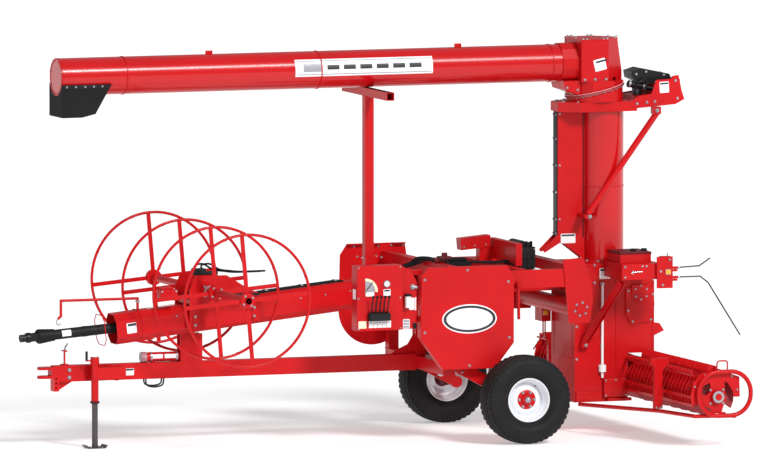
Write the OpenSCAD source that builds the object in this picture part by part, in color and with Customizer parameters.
// Towed grain bag unloader with a bag reel, an upright auger column and a slewing discharge tube.
// Millimetres. +X points to the rear, +Y to the right side, +Z up. The origin is on the ground
// under the middle of the machine, and every station below is measured from the wheel axle.

/* [Running gear] */
// How far the wheel axle lies behind the origin
axle_x = 1175; // [1050:5:1300]
// Distance between the middles of the two tyres
track = 2240; // [2140:10:2400]
// Outside radius of the tyres
tyre_r = 420; // [400:5:440]
// Width of each tyre
tyre_w = 318; // [280:2:330]
// Thickness of the tyre's rubber
tyre_wall = 20; // [14:1:26]
// Radius of the rim under the tyre bead
rim_r = 195; // [180:1:205]
// Diameter of the wheel spindles
spindle_d = 60; // [50:1:70]
// How far the lift shaft lies ahead of the wheel axle
lift_reach = 510; // [500:5:540]
// Height of the lift shaft
lift_z = 700; // [690:5:720]
// Diameter of the lift shaft
lift_d = 90; // [80:1:100]

/* [Drawbar and hitch] */
// Distance from the wheel axle forward to the hitch pin
hitch_reach = 4420; // [4200:10:4700]
// Width of the drawbar tube
drawbar_w = 102; // [90:1:120]
// Height of the drawbar tube
drawbar_h = 152; // [130:1:170]
// Height of the underside of the drawbar
drawbar_z = 626; // [600:1:640]
// Wall of the drawbar tube
drawbar_wall = 8; // [5:0.5:12]
// Diameter of the hitch pin hole
hitch_hole_d = 33; // [26:1:40]
// Distance from the wheel axle forward to the jack
jack_reach = 3960; // [3900:10:4000]

/* [Driveline] */
// Height of the driveshaft at its front yoke
pto_z = 1042; // [1000:1:1080]
// Distance from the wheel axle forward to the front face of the driveshaft yoke
pto_reach = 4653; // [4500:1:4750]
// Outside diameter of the plastic driveshaft shield
pto_shield_d = 96; // [80:1:110]
// Bore of the driveshaft yoke
pto_bore_d = 35; // [30:0.5:40]
// Height and width of the long driveline tunnel
tunnel_size = 266; // [240:1:280]
// Wall of the driveline tunnel
tunnel_wall = 5; // [4:0.5:8]

/* [Bag reel] */
// Outside diameter of the reel hoops
hoop_d = 1270; // [1150:5:1290]
// Diameter of the hoop pipe
hoop_pipe_d = 27; // [22:1:34]
// Distance between neighbouring hoops
hoop_gap = 883; // [840:1:920]
// Distance from the wheel axle forward to the reel shaft
reel_reach = 2854; // [2800:1:2900]
// Height of the reel shaft
reel_z = 1457; // [1450:1:1480]
// Diameter of the reel shaft
reel_shaft_d = 70; // [55:1:80]

/* [Main frame] */
// Half the width over the side rails
rail_y = 800; // [780:5:820]
// Height of the underside of the side rails
rail_z = 1440; // [1430:5:1450]
// Depth of the side rails
rail_h = 170; // [150:5:180]
// Distance from the wheel axle forward to the front of the main frame
frame_front = 705; // [690:5:720]
// Wall of the frame's square tubes
frame_wall = 8; // [6:0.5:10]
// Side of the square post that carries the folded discharge tube
post_w = 86; // [76:1:100]
// Distance from the wheel axle forward to that post
post_reach = 1169; // [1130:1:1200]
// Length of the bar across the top of that post
rest_bar_l = 1245; // [1000:5:1400]

/* [Auger column] */
// Distance from the wheel axle back to the middle of the column
column_x = 1196; // [1180:1:1230]
// Outside diameter of the upright auger tube
column_d = 406.4; // [380:0.2:420]
// Wall of the upright auger tube
column_wall = 8; // [5:0.5:10]
// Plate of the box that the column stands on
base_wall = 14; // [8:0.5:16]
// Height of the underside of the column base
base_z = 290; // [270:5:310]
// Width of the column base
base_w = 636; // [600:2:660]
// Height of the top of the column base
base_top = 1600; // [1570:5:1620]
// Height of the middle of the tilted flange that the head turns on
turn_z = 3241; // [3225:1:3260]
// Radius of that flange
turn_r = 284; // [270:2:300]
// How far that flange tilts towards the front, in degrees
turn_tilt = 13; // [8:1:16]

/* [Discharge auger] */
// Outside diameter of the discharge tube
discharge_d = 355.6; // [330:0.2:360]
// Wall of the discharge tube
discharge_wall = 4; // [3:0.5:8]
// Height of the discharge tube's middle line
discharge_z = 3501; // [3495:1:3520]
// Distance from the wheel axle forward to the end of the discharge tube
discharge_reach = 4290; // [4000:10:4500]
// Length of the rubber spout along the tube
spout_l = 624; // [560:2:680]

/* [Pickup] */
// Distance from the wheel axle back to the cross auger
pickup_x = 1555; // [1550:1:1580]
// Height of the cross auger
pickup_z = 483; // [478:1:490]
// Half the width over the skid loops
pickup_y = 2150; // [2050:10:2250]
// Outside diameter of the cross auger's flighting
flight_d = 400; // [360:2:410]
// Pitch of the cross auger's flighting
flight_pitch = 248; // [200:2:300]
// Diameter of the cross auger's shaft
pickup_shaft_d = 89; // [70:1:110]
// Diameter of the skid pipe
skid_d = 42; // [32:1:48]

/* [Hidden] */

$fn = 64;
red = "firebrick";
black = [0.08, 0.08, 0.09];
run_fit = 0.04;          // radial clearance of a turning fit
move_gap = 8;            // clearance round pieces that move past each other
seat_gap = 0.3;          // clearance between pieces that only seat on each other

// ---- shared shapes ----

module from_axle() {
    translate([axle_x, 0, 0]) children();
}

// An outline in X and Z, made t thick from y upwards.
module side_plate(points, y, t) {
    translate([0, y + t, 0]) rotate([90, 0, 0]) linear_extrude(t) polygon(points);
}

// A block from one corner to the other.
module block(a, b) {
    translate(a) cube(b - a);
}

// A rectangular tube with closed ends, from one corner to the other.
module box_tube(a, b, wall) {
    difference() {
        block(a, b);
        block(a + [wall, wall, wall], b - [wall, wall, wall]);
    }
}

// A round bar or tube across the machine.
module cross_round(x, z, y0, y1, d) {
    translate([x, y1, z]) rotate([90, 0, 0]) cylinder(h = y1 - y0, d = d);
}

// An open channel from point a to point b, its open side facing out and down.
module channel(a, b, size, wall) {
    v = b - a;
    h = size / 2;
    translate(a) rotate([0, acos(v[2] / norm(v)), atan2(v[1], v[0])]) linear_extrude(norm(v))
        polygon([[-h, -h], [h, -h], [h, -h + wall], [-h + wall, -h + wall],
            [-h + wall, h - wall], [h, h - wall], [h, h], [-h, h]]);
}

// A round bar from point a to point b.
module strut(a, b, d) {
    v = b - a;
    l = norm(v);
    translate(a) rotate([0, acos(v[2] / l), atan2(v[1], v[0])]) cylinder(h = l, d = d);
}

// A bent round bar through a list of points, with a slightly fuller ball at each bend.
module bent_bar(points, d) {
    for (i = [0 : len(points) - 2]) strut(points[i], points[i + 1], d);
    for (i = [1 : len(points) - 2]) translate(points[i]) sphere(d = d * 1.06);
}

// Places children on a line that starts at start and rises by angle towards the rear.
module on_slope(start, angle) {
    translate(start) rotate([0, -angle, 0]) children();
}

// A square tube with cut corners, lying along X.
module octagon_tube(l, size, wall) {
    cut = size * 0.22;
    difference() {
        octagon_bar(l, size, cut);
        translate([-1, 0, 0]) octagon_bar(l + 2, size - 2 * wall, cut - wall * 0.6);
    }
}

module octagon_bar(l, size, cut) {
    h = size / 2;
    rotate([90, 0, 90]) linear_extrude(l) polygon([
        [-h, -h + cut], [-h + cut, -h], [h - cut, -h], [h, -h + cut],
        [h, h - cut], [h - cut, h], [-h + cut, h], [-h, h - cut]]);
}

// ---- drawbar, hitch and jack ----

drawbar_front = -hitch_reach + 150;
drawbar_top = drawbar_z + drawbar_h;
pillar_x = [-3070, -2850];       // upright plate between drawbar and tunnel

module drawbar() {
    color(red) from_axle() {
        difference() {
            block([drawbar_front, -drawbar_w / 2, drawbar_z],
                  [-frame_front, drawbar_w / 2, drawbar_top]);
            block([drawbar_front - 1, -drawbar_w / 2 + drawbar_wall, drawbar_z + drawbar_wall],
                  [-frame_front - 10, drawbar_w / 2 - drawbar_wall, drawbar_top - drawbar_wall]);
        }
        // upright plates that hold the front of the driveline tunnel
        for (y = [-drawbar_w / 2, drawbar_w / 2 - 10])
            block([pillar_x[0], y, drawbar_top], [pillar_x[1], y + 10, tunnel_under(pillar_x[0])]);
        // bent gusset at the rear end
        side_plate([[-frame_front, drawbar_top], [-frame_front, drawbar_top + 190],
            [-frame_front - 60, drawbar_top + 90], [-frame_front - 190, drawbar_top + 30],
            [-frame_front - 230, drawbar_top]], -20, 40);
        // swivel bracket for the jack
        cross_round(-jack_reach + jack_bracket, drawbar_z + drawbar_h / 2,
            -drawbar_w / 2 - 60, -drawbar_w / 2, 150);
    }
}

module hitch_clevis() {
    z = drawbar_z + drawbar_h * 0.57;
    jaw_w = 120;
    jaw_t = 25;
    gap = 58;
    ladder = drawbar_front - 12;
    color(red) from_axle() {
        difference() {
            union() {
                for (s = [-1, 1]) {
                    translate([-hitch_reach, 0, z + s * (gap + jaw_t) / 2 - jaw_t / 2])
                        cylinder(h = jaw_t, d = jaw_w);
                    block([-hitch_reach, -jaw_w / 2, z + s * (gap + jaw_t) / 2 - jaw_t / 2],
                          [ladder - 50, jaw_w / 2, z + s * (gap + jaw_t) / 2 + jaw_t / 2]);
                }
                block([ladder - 74, -jaw_w / 2, z - gap / 2 - jaw_t],
                      [ladder - 50, jaw_w / 2, z + gap / 2 + jaw_t]);
            }
            translate([-hitch_reach, 0, z - 200]) cylinder(h = 400, d = hitch_hole_d);
        }
        // ladder of holes that sets the hitch height
        difference() {
            block([ladder - 50, -drawbar_w / 2, drawbar_z - 90], [ladder, drawbar_w / 2, drawbar_top]);
            for (i = [0 : 2])
                cross_round(ladder - 28, drawbar_z - 55 + i * 42, -100, 100, 20);
        }
        block([ladder, -drawbar_w / 2, drawbar_z], [drawbar_front, drawbar_w / 2, drawbar_top]);
        side_plate([[ladder, drawbar_z - 90], [ladder, drawbar_z], [ladder + 150, drawbar_z]], -8, 16);
    }
}

module driveshaft_cradle() {
    x = drawbar_front + 30;
    color(red) from_axle() {
        block([x, -40, drawbar_top], [x + 60, 40, drawbar_top + 12]);
        block([x + 24, -12, drawbar_top + 12], [x + 36, 12, drawbar_top + 130]);
        block([x + 14, -45, drawbar_top + 130], [x + 46, 45, drawbar_top + 142]);
    }
}

jack_y = -drawbar_w / 2 - 100;
jack_bracket = 230;
jack_outer_d = 70;
jack_inner_d = 56;

module jack_body() {
    z0 = 420;
    z1 = drawbar_top + 20;
    color(red) from_axle() {
        difference() {
            union() {
                translate([-jack_reach, jack_y, z0]) cylinder(h = z1 - z0, d = jack_outer_d);
                translate([-jack_reach, jack_y, z1]) cylinder(h = 60, d = jack_outer_d + 14);
                // arm back to the swivel bracket
                block([-jack_reach + 20, jack_y - 30, drawbar_z + 20],
                      [-jack_reach + jack_bracket + 70, -drawbar_w / 2 - 60, drawbar_top - 20]);
            }
            translate([-jack_reach, jack_y, z0 - 1])
                cylinder(h = z1 - z0 - 29, d = jack_inner_d + 2 * run_fit);
        }
        // crank handle
        translate([-jack_reach, jack_y, z1 + 30]) rotate([0, -90, 0]) cylinder(h = 90, d = 16);
        translate([-jack_reach - 82, jack_y, z1 + 30]) cylinder(h = 90, d = 14);
    }
}

module jack_leg() {
    color("dimgray") from_axle() {
        translate([-jack_reach, jack_y, 8]) cylinder(h = 560, d = jack_inner_d);
        translate([-jack_reach, jack_y, 0]) block([-75, -75, 0], [75, 75, 8]);
        for (s = [-1, 1])
            translate([-jack_reach, jack_y, 0])
                rotate([90, 0, 0]) linear_extrude(150, center = true)
                    polygon([[s * 75, 0], [s * 75, 8], [s * 98, 32], [s * 104, 26], [s * 80, 0]]);
    }
}

module manual_canister() {
    r = 45;
    color(red) from_axle() {
        translate([-3400, 0, drawbar_top + r + 6]) rotate([0, 90, 0]) cylinder(h = 320, r = r);
        translate([-3450, 0, drawbar_top + r + 6]) rotate([0, 90, 0]) cylinder(h = 50, r = r + 5);
        for (x = [-3340, -3140]) block([x, -20, drawbar_top], [x + 24, 20, drawbar_top + 12]);
    }
}

// ---- driveline: tunnel, mouth, shaft ----

tunnel_angle = 6;
tunnel_x = -3364;                // front end of the long tunnel
tunnel_z = 1146;                 // height of its middle line there
mouth_l = 373;

function tunnel_mid(x) = tunnel_z + (x - tunnel_x) * tan(tunnel_angle);
function tunnel_under(x) = tunnel_mid(x) - tunnel_size / 2 / cos(tunnel_angle);
function tunnel_over(x) = tunnel_mid(x) + tunnel_size / 2 / cos(tunnel_angle);

tunnel_l = (-frame_front - 32 - tunnel_x) / cos(tunnel_angle);

module driveline_tunnel() {
    color(red) from_axle() on_slope([tunnel_x, 0, tunnel_z], tunnel_angle)
        octagon_tube(tunnel_l, tunnel_size, tunnel_wall);
}

module tunnel_mouth() {
    color(red) from_axle() on_slope([tunnel_x, 0, tunnel_z], tunnel_angle)
        translate([-mouth_l, 0, 0]) octagon_tube(mouth_l, tunnel_size + 20, tunnel_wall);
}

pto_angle = 4.5;
pto_yoke_l = 190;
pto_l = 1120;                    // whole shaft, yoke included

module driveshaft() {
    color(black) from_axle() on_slope([-pto_reach, 0, pto_z], pto_angle)
        rotate([0, 90, 0]) {
            translate([0, 0, pto_yoke_l]) cylinder(h = pto_l - pto_yoke_l, d = pto_shield_d);
            for (i = [0 : 5])
                translate([0, 0, pto_yoke_l + i * 26]) cylinder(h = 14, d = pto_shield_d + 44 - 5 * i);
        }
}

module driveshaft_yoke() {
    color(black) from_axle() on_slope([-pto_reach, 0, pto_z], pto_angle)
        rotate([0, 90, 0]) difference() {
            union() {
                cylinder(h = 62, d = 72);
                translate([0, 0, 62]) cylinder(h = 40, d = 96);
                translate([-36, -48, 100]) cube([72, 14, pto_yoke_l - 100]);
                translate([-36, 34, 100]) cube([72, 14, pto_yoke_l - 100]);
                translate([0, 0, 128]) rotate([90, 0, 0]) cylinder(h = 90, d = 26, center = true);
                translate([0, 0, 128]) rotate([0, 90, 0]) cylinder(h = 70, d = 26, center = true);
            }
            translate([0, 0, -1]) cylinder(h = 86, d = pto_bore_d);
        }
}

module hose_arm() {
    d = 26;
    z = 1388;
    foot = tunnel_mid(-3480) + (tunnel_size + 20) / 2 / cos(tunnel_angle)
        + d * tan(tunnel_angle) + seat_gap;
    color(red) from_axle() {
        bent_bar([[-3480, 0, foot], [-3480, 0, z], [-4245, 0, z], [-4245, 0, z - 145],
            [-4275, 0, z - 172]], d);
    }
}

// ---- bag reel ----

hoop_ys = [for (i = [-1.5 : 1 : 1.5]) i * hoop_gap];
reel_bearing_y = 215;
spoke_turn = 5;                  // how far the spokes lean forward at rest

module hoop() {
    rotate([90, 0, 0]) rotate_extrude() translate([(hoop_d - hoop_pipe_d) / 2, 0])
        circle(d = hoop_pipe_d, $fn = 24);
}

module bag_reel() {
    spoke_w = 38;
    spoke_t = 12;
    hub_d = 150;
    color(red) from_axle() translate([-reel_reach, 0, reel_z]) {
        for (y = hoop_ys) translate([0, y, 0]) {
            hoop();
            rotate([0, -spoke_turn, 0]) difference() {
                for (a = [0 : 90 : 270]) rotate([0, a, 0])
                    block([0, -spoke_t / 2, -spoke_w / 2],
                          [(hoop_d - hoop_pipe_d) / 2, spoke_t / 2, spoke_w / 2]);
                cross_round(0, 0, -50, 50, reel_shaft_d + 2);
            }
            difference() {
                cross_round(0, 0, -24, 24, hub_d);
                cross_round(0, 0, -50, 50, reel_shaft_d);
            }
        }
    }
}

module reel_shaft() {
    l = 1.5 * hoop_gap + 45;
    color(red) from_axle() difference() {
        cross_round(-reel_reach, reel_z, -l, l, reel_shaft_d);
        cross_round(-reel_reach, reel_z, -l + 10, l - 10, reel_shaft_d - 14);
    }
}

module reel_frame() {
    x0 = -3034;
    x1 = -2329;
    w = tunnel_size / 2 + 6;
    color(red) from_axle() difference() {
        union() {
            for (s = [-1, 1])
                side_plate([[x0, 1090], [x1, 1170], [x1, 1395], [-reel_reach + 190, 1600],
                    [-reel_reach - 120, 1600], [x0, 1470]],
                    s > 0 ? reel_bearing_y - 12 : -reel_bearing_y, 12);
            for (x = [x0 + 20, x1 - 80])
                block([x, -reel_bearing_y + 12, tunnel_over(x + 60) + 6],
                      [x + 60, reel_bearing_y - 12, tunnel_over(x + 60) + 46]);
            for (s = [-1, 1])
                cross_round(-reel_reach, reel_z, s > 0 ? reel_bearing_y : -reel_bearing_y - 46,
                    s > 0 ? reel_bearing_y + 46 : -reel_bearing_y, 150);
            // saddles that clamp the frame to the tunnel
            for (s = [-1, 1], x = [x0 + 20, x1 - 80])
                block([x, s > 0 ? w : -reel_bearing_y + 12, tunnel_mid(x + 30) - 40],
                      [x + 60, s > 0 ? reel_bearing_y - 12 : -w, tunnel_mid(x + 30) + 40]);
        }
        cross_round(-reel_reach, reel_z, -500, 500, reel_shaft_d + 2 * run_fit);
    }
}

// ---- main frame ----

beam = 100;                      // side of the square cross beams
axle_beam = 120;
guard_y = 904;                   // inner face of the guard sheets
beam_y = guard_y - seat_gap;
rail_top = rail_z + rail_h;
beam_top = rail_top + 69;        // top of the front cross beam
plate_x = [499, 801];            // side plates that tie the rails to the column
plate_t = 12;
torque_x = 680;
torque_z = 1225;
torque_d = 160;
lift_bearing_y = 480;
arm_y = [740, 790];              // inner and outer face of each wheel arm
cylinder_y = 680;
cylinder_top = [-230, 1390];
lug_r = 22;
rail_t = 60;

module cross_beams() {
    base_front = column_x - 396 - seat_gap;
    color(red) from_axle() {
        box_tube([-frame_front, -beam_y, beam_top - beam],
                 [-frame_front + beam, beam_y, beam_top], frame_wall);
        box_tube([-frame_front, -rail_y, lift_z - 60],
                 [-frame_front + axle_beam, rail_y, lift_z + 60], frame_wall);
        for (x = [71, base_front - beam])
            box_tube([x, -rail_y + rail_t + seat_gap, rail_top - beam],
                     [x + beam, rail_y - rail_t - seat_gap, rail_top], frame_wall);
        difference() {
            cross_round(torque_x, torque_z, -rail_y + seat_gap, rail_y - seat_gap, torque_d);
            cross_round(torque_x, torque_z, -rail_y + frame_wall, rail_y - frame_wall,
                torque_d - 2 * frame_wall);
        }
    }
}

module frame_uprights() {
    color(red) from_axle() for (y = [-rail_y, -beam / 2, rail_y - beam])
        box_tube([-frame_front, y, lift_z + 60 + seat_gap],
                 [-frame_front + beam, y + beam, beam_top - beam - seat_gap], frame_wall);
}

module side_rails() {
    color(red) from_axle() for (s = [-1, 1]) {
        box_tube([-frame_front + beam + seat_gap, s > 0 ? rail_y - rail_t : -rail_y, rail_z],
                 [plate_x[1] - 60, s > 0 ? rail_y : -rail_y + rail_t, rail_top], frame_wall);
        side_plate([[plate_x[0], 1701], [plate_x[0] + 202, 1714], [plate_x[1] - 50, 1577],
            [plate_x[1] - 10, 1452], [plate_x[1], 1309], [plate_x[1] - 30, 1096],
            [plate_x[0] + 58, 1096]], s > 0 ? rail_y : -rail_y - plate_t, plate_t);
    }
}

module lift_brackets() {
    color(red) from_axle() {
        // bearings of the lift shaft, on the axle beam
        difference() {
            for (s = [-1, 1])
                block([-frame_front + axle_beam + seat_gap, s * lift_bearing_y - 20, lift_z - 60],
                      [-lift_reach + 66, s * lift_bearing_y + 20, lift_z + 66]);
            cross_round(-lift_reach, lift_z, -900, 900, lift_d + 2 * run_fit);
        }
        // lugs of the lift cylinders, under the side rails
        difference() {
            for (s = [-1, 1]) {
                for (side = [-1, 1])
                    block([cylinder_top[0] - 40, s * cylinder_y + side * 36 - 7,
                           cylinder_top[1] - lug_r],
                          [cylinder_top[0] + 40, s * cylinder_y + side * 36 + 7, rail_z - 14]);
                block([cylinder_top[0] - 40, s > 0 ? cylinder_y - 50 : -rail_y, rail_z - 15],
                      [cylinder_top[0] + 40, s > 0 ? rail_y : -cylinder_y + 50, rail_z - seat_gap]);
            }
            cross_round(cylinder_top[0], cylinder_top[1], -900, 900, pin_d + 2 * run_fit);
        }
    }
}

module driveline_box() {
    color(red) from_axle()
        box_tube([-frame_front + beam + seat_gap, -100, 1345],
                 [column_x - 396 - seat_gap, 100, 1509], 6);
}

module rest_post() {
    shoe_x = [-post_reach - post_w / 2 - 60, -post_reach + post_w / 2 + 90];
    foot = tunnel_over(shoe_x[1]) + 10;
    top = discharge_z - discharge_d / 2 - move_gap;
    bar = 76;
    wall = 6;
    color(red) from_axle() {
        box_tube([-post_reach - post_w / 2, -post_w / 2, foot - 1],
                 [-post_reach + post_w / 2, post_w / 2, top - bar + 1], wall);
        difference() {
            block([-post_reach - bar / 2, -rest_bar_l / 2, top - bar],
                  [-post_reach + bar / 2, rest_bar_l / 2, top]);
            block([-post_reach - bar / 2 + wall, -rest_bar_l / 2 - 1, top - bar + wall],
                  [-post_reach + bar / 2 - wall, rest_bar_l / 2 + 1, top - wall]);
        }
        side_plate([[shoe_x[0], tunnel_over(shoe_x[0]) + seat_gap],
            [shoe_x[1], tunnel_over(shoe_x[1]) + seat_gap], [shoe_x[1], foot], [shoe_x[0], foot]],
            -90, 180);
        side_plate([[-post_reach + post_w / 2, foot], [-post_reach + post_w / 2 + 80, foot],
            [-post_reach + post_w / 2, foot + 110]], -5, 10);
    }
}

module bridge_beam() {
    z = rail_top + seat_gap;
    color(red) from_axle() {
        box_tube([71, 311, z], [202, 411, z + 130], 6);
        on_slope([-117, 0, z + 105], 5)
            box_tube([0, 300, 0], [304, 422, 112], 6);
        box_tube([200, -284, z + 21], [262, 411, z + 211], 6);
        box_tube([200, -334, z], [262, -282, z + 211], 6);
    }
}

module hydraulic_manifold() {
    z = rail_top + seat_gap;
    x = 262 + seat_gap;
    color(black) from_axle() {
        block([x, -290, z - 40], [x + 150, 180, z + 170]);
        cross_round(x + 78, z + 165, -250, 140, 110);
    }
}

// ---- guards and controls ----

module left_guard() {
    outline = [[-971, 1010], [-960, 1600], [-890, 1672], [-100, 1672], [-34, 1560],
        [-34, 940], [-222, 703], [-747, 703]];
    depth = 90;
    sheet = 6;
    mid = [-500, 1190];
    shrink = 1 - 2 * sheet / 940;
    color(red) from_axle() {
        difference() {
            side_plate(outline, -guard_y - sheet, depth);
            side_plate([for (p = outline) mid + (p - mid) * shrink], -guard_y, depth);
            block([-frame_front - 6, -guard_y, 600], [-frame_front + beam + 6, 0, 1690]);
        }
        // stand-offs from the uprights
        for (z = [1000, 1350])
            block([-frame_front + 20, -guard_y - 1, z], [-frame_front + beam - 20, -rail_y - seat_gap, z + 60]);
    }
}

module right_guard() {
    r = 342;
    x = -796;
    z = 1129;
    sheet = 8;
    color(red) from_axle() {
        translate([0, guard_y + sheet, 0]) rotate([90, 0, 0]) linear_extrude(sheet) union() {
            translate([x, z]) circle(r = r);
            polygon([[x - r, z], [x - r + 14, 1651], [-1053, 1756], [-469, 1756],
                [-454, 1651], [x + r, z]]);
        }
        // stand-offs from the upright and the lip round the sheet
        for (h = [1000, 1350])
            block([-frame_front + 20, rail_y + seat_gap, h], [-frame_front + beam - 20, guard_y + 1, h + 60]);
        block([-1053, guard_y - 40, 1756 - sheet], [-frame_front - 6, guard_y + 1, 1756]);
        block([-frame_front + beam + 6, guard_y - 40, 1756 - sheet], [-469, guard_y + 1, 1756]);
    }
}

panel_x = [-1607, -1154];
panel_y = -900;
panel_z = [1095, 1708];

module control_panel() {
    arm_in = [-790, -750];       // arms run just inboard of the left guard
    color(red) from_axle() {
        difference() {
            block([panel_x[0], panel_y, panel_z[0]], [panel_x[1], panel_y + 140, panel_z[1]]);
            block([panel_x[0] + 4, panel_y + 4, panel_z[0] + 4],
                  [panel_x[1] - 4, panel_y + 141, panel_z[1] - 4]);
        }
        // side wing beside the guard
        side_plate([[panel_x[1] - 1, panel_z[0]], [-985, panel_z[0]], [-985, 1540],
            [-1040, 1640], [panel_x[1] - 1, panel_z[1]]], panel_y + 60, 8);
        // arms back to the front cross beam and to the upright below it
        for (z = [panel_z[0] + 60, beam_top - beam + 20])
            block([panel_x[1] - 60, arm_in[0], z], [-frame_front - seat_gap, arm_in[1], z + 50]);
    }
}

module control_levers() {
    color(black) from_axle() {
        block([-1500, panel_y - 60, 1190], [-1290, panel_y, 1260]);
        for (i = [0 : 4])
            strut([-1475 + i * 40, panel_y - 30, 1255], [-1475 + i * 40, panel_y - 90, 1420], 12);
    }
}

// ---- wheels and lift ----

hub_d = 110;
spindle_end = track / 2 + 70;
lift_pin = [0.62 * lift_reach, -0.62 * (lift_z - tyre_r)];
pin_d = 30;
eye_gap = 7;                     // room round the lower pin, where the linkage is open

function lift_pin_xz() = [-lift_reach + lift_pin[0], lift_z + lift_pin[1]];

module wheel_arms() {
    v = [lift_reach, tyre_r - lift_z];
    n = [-v[1], v[0]] / norm(v);
    color(red) from_axle() {
        cross_round(-lift_reach, lift_z, -arm_y[1], arm_y[1], lift_d);
        for (s = [-1, 1]) {
            in = s > 0 ? arm_y[0] : -arm_y[1];
            out = s > 0 ? arm_y[1] : -arm_y[0];
            cross_round(-lift_reach, lift_z, in, out, 130);
            cross_round(0, tyre_r, in, out, 110);
            side_plate([[-lift_reach, lift_z] + 60 * n, [0, tyre_r] + 50 * n,
                [0, tyre_r] - 50 * n, [-lift_reach, lift_z] - 60 * n], in, out - in);
            cross_round(0, tyre_r, s > 0 ? arm_y[1] - 1 : -spindle_end,
                s > 0 ? spindle_end : -arm_y[1] + 1, spindle_d);
            cross_round(lift_pin_xz()[0], lift_pin_xz()[1], s > 0 ? cylinder_y - 35 : -arm_y[0] - 1,
                s > 0 ? arm_y[0] + 1 : -cylinder_y + 35, pin_d);
        }
    }
}

cyl_dx = lift_pin_xz()[0] - cylinder_top[0];
cyl_dz = cylinder_top[1] - lift_pin_xz()[1];
cyl_l = norm([cyl_dx, cyl_dz]);
cyl_angle = atan2(cyl_dx, cyl_dz);
barrel_d = 90;
rod_d = 45;
barrel_end = 560;
barrel_top = 33;                 // the barrel starts below the lugs

// The cylinder's own line: it hangs from the top pin, and z runs down along it.
module along_cylinder(s) {
    from_axle() translate([cylinder_top[0], s * cylinder_y, cylinder_top[1]])
        rotate([0, -cyl_angle, 0]) mirror([0, 0, 1]) children();
}

module lift_barrel(s) {
    color(black) along_cylinder(s) difference() {
        union() {
            rotate([90, 0, 0]) cylinder(h = 48, d = 64, center = true);
            cylinder(h = 50, d = 46);
            translate([0, 0, barrel_top]) cylinder(h = barrel_end - barrel_top, d = barrel_d);
            rotate([90, 0, 0]) cylinder(h = 85, d = pin_d, center = true);
        }
        translate([0, 0, 120]) cylinder(h = barrel_end, d = rod_d + 2 * run_fit);
    }
}

module lift_rod(s) {
    color("silver") along_cylinder(s) difference() {
        union() {
            translate([0, 0, 300]) cylinder(h = cyl_l - 300 - 22, d = rod_d);
            translate([0, 0, cyl_l]) rotate([90, 0, 0]) cylinder(h = 44, d = 80, center = true);
        }
        translate([0, 0, cyl_l]) rotate([90, 0, 0])
            cylinder(h = 60, d = pin_d + 2 * eye_gap, center = true);
    }
}

function arc(c, r, a0, a1, n) =
    [for (i = [0 : n]) let (a = a0 + (a1 - a0) * i / n) [c[0] + r * cos(a), c[1] + r * sin(a)]];

module tyre(s) {
    bead_w = 98;
    side_w = tyre_w / 2;
    outer = concat([[rim_r + 1, -bead_w], [rim_r + 16, -bead_w - 2], [rim_r + 40, -side_w + 18],
            [rim_r + 100, -side_w]],
        arc([tyre_r - 42, -side_w + 44], 38, -90, -10, 5), [[tyre_r, -side_w + 90]]);
    inner = [[rim_r + 1, -bead_w + tyre_wall], [rim_r + 36, -side_w + 22 + tyre_wall],
        [rim_r + 100, -side_w + tyre_wall], [tyre_r - 46 - tyre_wall / 2, -side_w + 18 + tyre_wall],
        [tyre_r - 6 - tyre_wall, -side_w + 86]];
    color(black) from_axle() translate([0, s * track / 2, tyre_r]) rotate([90, 0, 0])
        rotate_extrude() polygon(concat(outer, mirrored(outer), inner_back(inner)));
}

// An outline's points mirrored across the middle of the tyre, in the opposite order.
function mirrored(points) = [for (i = [len(points) - 1 : -1 : 0]) [points[i][0], -points[i][1]]];
// The inside of the casing, from its right bead round to its left bead.
function inner_back(points) = concat([for (p = points) [p[0], -p[1]]],
    [for (i = [len(points) - 1 : -1 : 0]) points[i]]);

module wheel(s) {
    flange_y = 112;
    color("whitesmoke") from_axle() translate([0, s * track / 2, tyre_r])
        rotate([90, 0, 0]) mirror([0, 0, s > 0 ? 1 : 0]) difference() {
            union() {
                rotate_extrude() polygon([[rim_r - 8, -flange_y], [rim_r + 14, -flange_y],
                    [rim_r + 14, -flange_y + 6], [rim_r, -flange_y + 8], [rim_r, flange_y - 8],
                    [rim_r + 14, flange_y - 6], [rim_r + 14, flange_y], [rim_r - 8, flange_y]]);
                // dished centre
                rotate_extrude() polygon([[hub_d / 2 - 5, 30], [110, 30], [150, -6], [rim_r - 6, -6],
                    [rim_r - 6, 4], [154, 4], [114, 40], [hub_d / 2 - 5, 40]]);
                translate([0, 0, -120]) cylinder(h = 190, d = hub_d);
            }
            translate([0, 0, -121]) cylinder(h = 171 + 20, d = spindle_d + 2 * run_fit);
            for (a = [0 : 60 : 300]) rotate([0, 0, a]) translate([76, 0, 0]) cylinder(h = 60, d = 18);
        }
}

// ---- auger column ----

base_x = [column_x - 396, column_x + 410];
boot_x = column_x + 137;
boot_z = 745;
arm_top = turn_z - 108;
tube_top = arm_top - 25;

module column_base() {
    w = base_w / 2;
    t = base_wall;
    color(red) from_axle() {
        difference() {
            union() {
                block([base_x[0], -w, base_z], [boot_x, w, boot_z]);
                block([base_x[0], -w, boot_z], [base_x[1], w, base_top]);
            }
            block([base_x[0] + t, -w + t, base_z + t], [boot_x - t, w - t, boot_z + t]);
            block([base_x[0] + t, -w + t, boot_z + t - 1], [base_x[1] - t, w - t, base_top - t]);
        }
        for (s = [-1, 1])
            side_plate([[base_x[1], 905], [base_x[1] + 100, 950], [base_x[1] + 55, 1020],
                [base_x[1], 1030]], s > 0 ? w - 10 : -w, 10);
        translate([column_x, 0, base_top]) difference() {
            cylinder(h = 16, d = column_d + 90);
            translate([0, 0, -1]) cylinder(h = 18, d = column_d + 2 * seat_gap);
        }
    }
}

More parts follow.
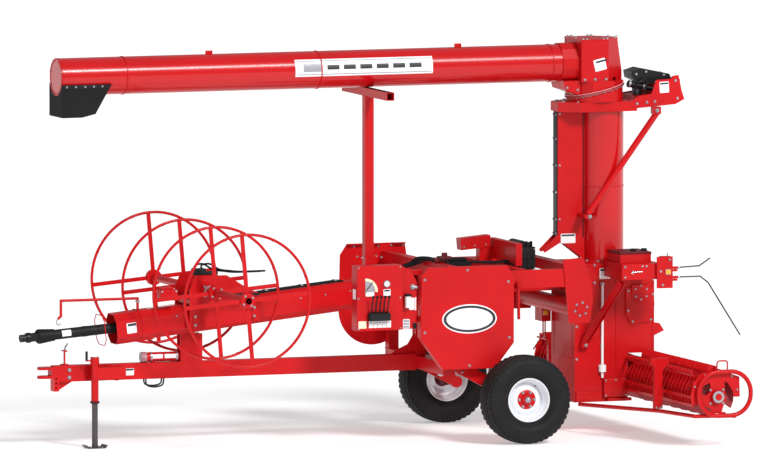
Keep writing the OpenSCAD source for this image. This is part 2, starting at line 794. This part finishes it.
module column_tube() {
    color(red) from_axle() translate([column_x, 0, base_top]) difference() {
        cylinder(h = tube_top - base_top, d = column_d);
        translate([0, 0, -1]) cylinder(h = tube_top - base_top + 2, d = column_d - 2 * column_wall);
    }
}

spine_w = 110;
spine_x = column_x - 470;

module column_spine() {
    z0 = 1831;
    sheet = 6;
    h = spine_w / 2;
    color(red) from_axle() difference() {
        union() {
            difference() {
                block([spine_x, -h, z0], [column_x - 150, h, arm_under - seat_gap]);
                block([spine_x + sheet, -h + sheet, z0 + sheet],
                      [column_x - 100, h - sheet, arm_under - sheet]);
            }
            for (y = [-h, h - sheet]) {
                side_plate([[spine_x + 1, z0 + 1], [spine_x + 1, z0 - 3], [column_x - 200, base_top + 24],
                    [column_x - 200, z0 + 1]], y, sheet);
                side_plate([[spine_x - 153, z0 - 108], [spine_x - 130, z0 - 130], [spine_x + 60, z0 - 20],
                    [spine_x + 60, z0 + 40], [spine_x, z0 + 40]], y, sheet);
            }
        }
        translate([column_x, 0, 1500]) cylinder(h = 1700, d = column_d + 2 * seat_gap);
    }
}

module column_brace() {
    y = column_d / 2 + 34;
    color(red) from_axle() {
        strut([column_x - 234, -y, 2071], [1664, -y, arm_under - 20], 60);
        block([1612, -y - 36, arm_under - 34], [1692, -y + 36, arm_under + 34]);
        block([column_x - 270, -y - 20, 2030],
              [column_x - sqrt(pow(column_d / 2, 2) - pow(spine_w / 2, 2)) - 10,
               -spine_w / 2 - seat_gap, 2070]);
        // channel from the base's side out to the rear bracket
        channel([886, -base_w / 2 - 46, 862], [1110, -rail_y + 40, 1590 - 130], 54, 6);
        block([850, -base_w / 2 - 64, 815], [930, -base_w / 2 - seat_gap, 862]);
    }
}

arm_h = 92;
arm_under = arm_top - arm_h;
arm_x = [column_x - 484, 1940];
arm_w = 240;
arm_nose = 208;
turn_x = column_x - 80;          // middle of the tilted flange
turn_t = 12;                     // thickness of each of its two plates

// The frame of the tilted flange: z points along the axis that the head turns on.
module on_turn() {
    translate([turn_x, 0, turn_z]) rotate([0, -turn_tilt, 0]) children();
}

module mast_arm() {
    sheet = 8;
    nose = arm_nose / 2;
    rear_rise = 66;
    color(red) from_axle() {
        difference() {
            translate([0, 0, arm_under]) linear_extrude(arm_h) polygon([
                [arm_x[0], -nose], [arm_x[0] + 190, -arm_w], [1460, -arm_w], [1460, arm_w],
                [arm_x[0] + 190, arm_w], [arm_x[0], nose]]);
            translate([0, 0, arm_under - 1]) linear_extrude(arm_h - sheet + 1) polygon([
                [arm_x[0] + sheet, -nose + sheet], [arm_x[0] + 190 + sheet, -arm_w + sheet],
                [1461, -arm_w + sheet], [1461, arm_w - sheet],
                [arm_x[0] + 190 + sheet, arm_w - sheet], [arm_x[0] + sheet, nose - sheet]]);
            translate([column_x, 0, 1500]) cylinder(h = 2000, d = column_d + 2 * seat_gap);
        }
        // rear part, which rises towards its end bracket
        for (s = [-1, 1])
            side_plate([[1400, arm_under + 20], [1850, arm_under + 54], [arm_x[1], arm_top + 8],
                [arm_x[1] - 28, arm_top + 90], [arm_x[1] - 60, 3372], [arm_x[1] - 128, 3362],
                [arm_x[1] - 134, 3336], [1653, 3330], [1606, arm_top + rear_rise],
                [1480, arm_top + rear_rise - 16], [1400, arm_top]],
                s > 0 ? arm_w - sheet : -arm_w, sheet);
        side_plate([[1459, arm_top - sheet], [1480, arm_top + 30], [1606, arm_top + 46],
            [1900, arm_top + 62], [1900, arm_top + 70], [1600, arm_top + 54],
            [1474, arm_top + 38], [1452, arm_top]], -arm_w + sheet - 1, 2 * (arm_w - sheet) + 2);
        block([1890, -arm_w + sheet - 1, arm_top + 62], [1898, arm_w - sheet + 1, 3330]);
    }
}

module turn_collar() {
    wall = 8;
    color(red) from_axle() difference() {
        union() {
            translate([turn_x, 0, arm_top + seat_gap]) cylinder(h = 260, r = turn_r - 14);
            on_turn() translate([0, 0, -turn_t]) cylinder(h = turn_t, r = turn_r);
        }
        translate([turn_x, 0, arm_top - 60]) cylinder(h = 400, r = turn_r - 14 - wall);
        on_turn() translate([-600, -600, -seat_gap / 2]) cube([1200, 1200, 700]);
    }
}

module slew_drive() {
    side = 110;
    color(black) from_axle() {
        side_plate([[1449, 3406], [1550, 3436], [1837, 3375], [1852, 3337], [1701, 3275],
            [1530, 3304], [1460, 3339]], -side, 2 * side);
        translate([1428, -70, 3290]) rotate([0, 103, 0]) cylinder(h = 190, d = 62);
        translate([1500, -70, 3274]) rotate([0, 103, 0]) cylinder(h = 240, d = 50);
        for (foot = [[1530, 50.5], [1760, 65.5]])
            block([foot[0], -side + 20, arm_top + foot[1]], [foot[0] + 36, side - 20, 3310]);
    }
}

// ---- discharge auger ----

head_w = 456;
head_x = [column_x - 293, column_x + 121, column_x + 190];   // front, rear at the top, rear below
head_cut = 142;                  // how much of each rear corner is cut off
head_top = discharge_z + 221;
head_neck = discharge_z - 171;   // where the box meets the octagon
chin_x = column_x - 460;

module discharge_head() {
    lid_t = 10;
    sheet = 8;
    r = discharge_d / 2;
    color(red) from_axle() {
        difference() {
            union() {
                head_shell(0);
                // chin under the tube
                side_plate([[chin_x, head_neck + 9], [head_x[0] + 5, head_neck + 9],
                    [head_x[0] + 5, head_neck - 130], [chin_x + 21, head_neck - 75]], -180, 360);
                // twelve-sided sleeve that clamps the tube
                translate([chin_x, 0, discharge_z]) rotate([0, 90, 0]) rotate([0, 0, 15])
                    cylinder(h = head_x[0] - chin_x + 4, r = (r + 8) / cos(15), $fn = 12);
                on_turn() translate([0, 0, -20]) cylinder(h = 20 + turn_t, r = turn_r);
                translate([0, 0, head_top - 1]) linear_extrude(lid_t + 1) polygon([
                    [head_x[0] - 6, -head_w / 2 - 6], [head_x[1] - head_cut, -head_w / 2 - 6],
                    [head_x[1] + 6, -head_w / 2 + head_cut], [head_x[1] + 6, head_w / 2 - head_cut],
                    [head_x[1] - head_cut, head_w / 2 + 6], [head_x[0] - 6, head_w / 2 + 6]]);
            }
            head_shell(sheet);
            translate([chin_x - 1, 0, discharge_z]) rotate([0, 90, 0])
                cylinder(h = 260, r = r + seat_gap);
            translate([turn_x + 14, 0, head_neck - 30]) cylinder(h = 60, r = turn_r - 89);
            on_turn() translate([-600, -600, -700]) cube([1200, 1200, 700 + seat_gap / 2]);
        }
    }
}

// The sheet metal of the head, drawn in by inset on every side: an octagon on the flange and a
// box with cut rear corners above it.
module head_shell(inset) {
    w = head_w / 2 - inset;
    split = head_neck + inset;
    rear = head_x[2] - inset;
    intersection() {
        side_plate([[head_x[0] + inset, split], [head_x[0] + inset, head_top - inset],
            [head_x[1] - inset, head_top - inset], [rear, discharge_z - 90], [rear, split]], -w, 2 * w);
        translate([0, 0, split - 1]) linear_extrude(600) polygon([
            [head_x[0] - 10, -w], [head_x[1] - head_cut, -w], [rear + 1, -w + rear + 1 - head_x[1] + head_cut],
            [rear + 1, w - rear - 1 + head_x[1] - head_cut], [head_x[1] - head_cut, w], [head_x[0] - 10, w]]);
    }
    translate([turn_x, 0, turn_z - 90]) rotate([0, 0, 22.5])
        cylinder(h = head_neck - inset - turn_z + 91, r = turn_r - 8 - inset / cos(22.5), $fn = 8);
}

module discharge_tube() {
    l = discharge_reach + column_x - 145;
    cap_t = 8;
    color(red) from_axle() translate([-discharge_reach, 0, discharge_z]) rotate([0, 90, 0]) {
        difference() {
            cylinder(h = l, d = discharge_d);
            translate([0, 0, cap_t]) cylinder(h = l, d = discharge_d - 2 * discharge_wall);
            // outlet in the underside, inside the spout
            translate([0, -110, 60]) cube([300, 220, spout_l - 290]);
        }
    }
}

module discharge_spout() {
    t = 8;
    r = discharge_d / 2 + seat_gap;
    w = r + t;
    x0 = -discharge_reach - 3;
    top = discharge_z - 65;
    foot = discharge_z - 374;
    color(black) from_axle() difference() {
        side_plate([[x0, top], [x0, foot], [x0 + 197, foot], [x0 + 332, foot + 31],
            [x0 + spout_l - 130, top]], -w, 2 * w);
        side_plate([[x0 + t, top + 1], [x0 + t, foot - 1], [x0 + 197 - t / 2, foot - 1],
            [x0 + 197, foot + t], [x0 + 330 - t, foot + 35], [x0 + spout_l - 132 - t, top + 1]],
            -w + t, 2 * (w - t));
        translate([x0 - 100, 0, discharge_z]) rotate([0, 90, 0]) cylinder(h = spout_l + 300, r = r);
    }
}

// ---- rear bracket and feelers ----

module rear_bracket() {
    y = -base_w / 2 - seat_gap;
    color(red) from_axle() {
        box_tube([1098, -rail_y, 1486], [1500, y, 1635], 8);
        box_tube([1130, -rail_y + 130, 1634], [1440, y, 1735], 8);
        block([1440, -rail_y - 30, 1400], [1600, -rail_y - 20, 1700]);
        block([1499, -rail_y - 21, 1486], [1590, -rail_y + 60, 1700]);
        for (z = [1470, 1560])
            block([1589, -rail_y - 20, z], [1650, -rail_y + 30, z + 40]);
    }
}

feeler_d = 14;

module feeler_rods() {
    y = -rail_y + 5;
    color("dimgray") from_axle() {
        bent_bar([[1650, y, 1590], [1880, y, 1600], [1990, y, 1670]], feeler_d);
        bent_bar([[1650, y, 1500], [1890, y, 1500], [1970, y, 1440], [2296, y, 930]], feeler_d);
    }
}

module front_feeler() {
    color(red) from_axle() {
        block([base_x[0] - 90, 330, 1010], [base_x[0], 520, torque_z - 75]);
        bent_bar([[base_x[0] - 60, 380, 1020], [base_x[0] - 60, 380, 880],
            [base_x[0] - 160, 380, 740]], feeler_d);
        bent_bar([[base_x[0] - 20, 430, 1020], [base_x[0] - 20, 430, 880],
            [base_x[0] + 20, 440, 770], [base_x[0] + 20, 460, 740]], feeler_d);
    }
}

// ---- pickup ----

module pickup_shaft() {
    wall = 10;
    pipe = pickup_y - 60;
    color(red) from_axle() {
        difference() {
            union() {
                cross_round(pickup_x, pickup_z, -pickup_y - 30, pickup_y + 30, 60 - 2 * run_fit);
                cross_round(pickup_x, pickup_z, -pipe, pipe, pickup_shaft_d);
            }
            cross_round(pickup_x, pickup_z, -pipe + 80, pipe - 80, pickup_shaft_d - 2 * wall);
        }
        // paddles that throw the grain into the boot
        for (a = [0, 90, 180, 270]) translate([pickup_x, 0, pickup_z]) rotate([0, a, 0])
            block([pickup_shaft_d / 2 - 3, -240, -4], [flight_d / 2, 240, 4]);
    }
}

flight_start = 300;
flight_t = 6;

module flight(hand) {
    l = pickup_y - 90 - flight_start;
    turns = l / flight_pitch;
    t = flight_t * 3.14159 * (flight_d / 2) / flight_pitch;
    linear_extrude(height = l, twist = hand * 360 * turns, slices = ceil(turns * 20), $fn = 4)
        translate([pickup_shaft_d / 2 - 2, -t / 2]) square([(flight_d - pickup_shaft_d) / 2 + 2, t]);
}

module pickup_flights() {
    color(red) from_axle() translate([pickup_x, 0, pickup_z]) for (s = [-1, 1])
        translate([0, s * flight_start, 0]) rotate([s > 0 ? -90 : 90, 0, 0]) flight(1);
}

guard_in = flight_d / 2 + 16;
guard_out = guard_in + 30;
guard_bars = 20;
hook_h = 58;
guard_y0 = 345;
mid_y = 1458;

module pickup_guard(s) {
    step = (pickup_y - 60 - guard_y0) / (guard_bars - 1);
    side = base_w / 2 + seat_gap;
    plate_y = pickup_y - 40;
    foot = loop_z[0] + skid_d / 2 + seat_gap - pickup_z;
    color(red) from_axle() mirror([0, s < 0 ? 1 : 0, 0]) translate([pickup_x, 0, pickup_z]) {
        for (i = [0 : guard_bars - 1])
            translate([0, guard_y0 + i * step + 4, 0]) rotate([90, 0, 0]) rotate([0, 0, 70])
                rotate_extrude(angle = 130) translate([guard_in, 0]) square([guard_out - guard_in, 8]);
        // hooks along the top of the bars
        for (i = [0 : guard_bars - 1])
            side_plate([[-90, guard_out - 20], [-82, guard_out + 36], [-52, guard_out + hook_h],
                [8, guard_out + 38], [30, guard_out - 20]], guard_y0 + i * step - 3, 6);
        for (a = [80, 130, 180, 198])
            rotate([0, -a, 0]) block([guard_out - 2, side, -15], [guard_out + 12, plate_y + 1, 15]);
        // end plate with its two openings and the shaft bearing
        difference() {
            union() {
                side_plate([[171, -7], [232, -7], [226, 183], [60, 240], [-40, 250], [-150, 225],
                    [-235, 140], [-262, 13], [-252, -70], [-160, -70], [-60, -110], [-60, foot],
                    [45, foot], [60, -110], [90, -35], [75, 145], [111, 127], [161, 50]],
                    plate_y, 12);
                translate([0, pickup_y + 12, 0]) rotate([90, 0, 0]) cylinder(h = 50, d = 120);
                block([5, plate_y, foot], [70, pickup_y + 24, foot + 12]);
            }
            side_plate([[-150, 30], [-140, 100], [-75, 136], [-62, 100], [-75, 40], [-110, 12]],
                plate_y - 1, 14);
            translate([0, pickup_y + 50, 0]) rotate([90, 0, 0]) cylinder(h = 120, d = 60);
        }
        // mid bracket that stands on the runner
        side_plate([[-375, mid_foot], [-375, 237], [-415, 260], [-415, 315], [-234, 315],
            [-234, 260], [-294, 200], [-294, mid_foot]], mid_y - 50, 50);
        block([-295, mid_y - 40, -12], [-guard_out - 6, mid_y - 10, 12]);
    }
}

loop_x = [pickup_x - 197, pickup_x + 327];
loop_z = [pickup_z - 179, pickup_z + 237];
runner_z = loop_z[0] - 4;
runner_d = skid_d - 4;
mid_foot = runner_z + 0.53 * runner_d + seat_gap - pickup_z;

module skid_loop() {
    r = 200;
    x0 = loop_x[0] + r;
    x1 = loop_x[1] - r;
    z0 = loop_z[0] + r;
    z1 = loop_z[1] - r;
    for (c = [[x1, z1, 0], [x0, z1, 90], [x0, z0, 180], [x1, z0, 270]])
        translate([c[0], 0, c[1]]) rotate([90, 0, 0]) rotate([0, 0, c[2]])
            rotate_extrude(angle = 90) translate([r, 0]) circle(d = skid_d, $fn = 24);
    strut([x0, 0, loop_z[0]], [x1, 0, loop_z[0]], skid_d);
    strut([x0, 0, loop_z[1]], [x1, 0, loop_z[1]], skid_d);
    strut([loop_x[0], 0, z0], [loop_x[0], 0, z1], skid_d);
    strut([loop_x[1], 0, z0], [loop_x[1], 0, z1], skid_d);
}

module skid(s) {
    color(red) from_axle() mirror([0, s < 0 ? 1 : 0, 0]) {
        translate([0, pickup_y + 10, 0]) skid_loop();
        bent_bar([[loop_x[0] + 200, pickup_y + 10, loop_z[0]], [loop_x[0] - 10, pickup_y - 65, runner_z],
            [1220, mid_y, runner_z],
            [base_x[0] + 60, base_w / 2 - 30, base_z - skid_d / 2 - seat_gap]], runner_d);
    }
}

// ---- nodes ----

drawbar();
hitch_clevis();
driveshaft_cradle();
jack_body();
jack_leg();
manual_canister();
driveline_tunnel();
tunnel_mouth();
hose_arm();
reel_frame();
driveshaft();
driveshaft_yoke();
bag_reel();
reel_shaft();
cross_beams();
frame_uprights();
side_rails();
lift_brackets();
driveline_box();
rest_post();
bridge_beam();
hydraulic_manifold();
left_guard();
right_guard();
control_panel();
control_levers();
wheel_arms();
lift_barrel(-1);  // lift_barrel_left
lift_barrel(1);  // lift_barrel_right
lift_rod(-1);  // lift_rod_left
lift_rod(1);  // lift_rod_right
tyre(-1);  // tyre_left
tyre(1);  // tyre_right
wheel(-1);  // wheel_left
wheel(1);  // wheel_right
column_base();
column_tube();
column_spine();
column_brace();
mast_arm();
turn_collar();
slew_drive();
discharge_head();
discharge_tube();
discharge_spout();
rear_bracket();
feeler_rods();
front_feeler();
pickup_shaft();
pickup_flights();
pickup_guard(-1);  // pickup_guard_left
pickup_guard(1);  // pickup_guard_right
skid(-1);  // skid_left
skid(1);  // skid_right
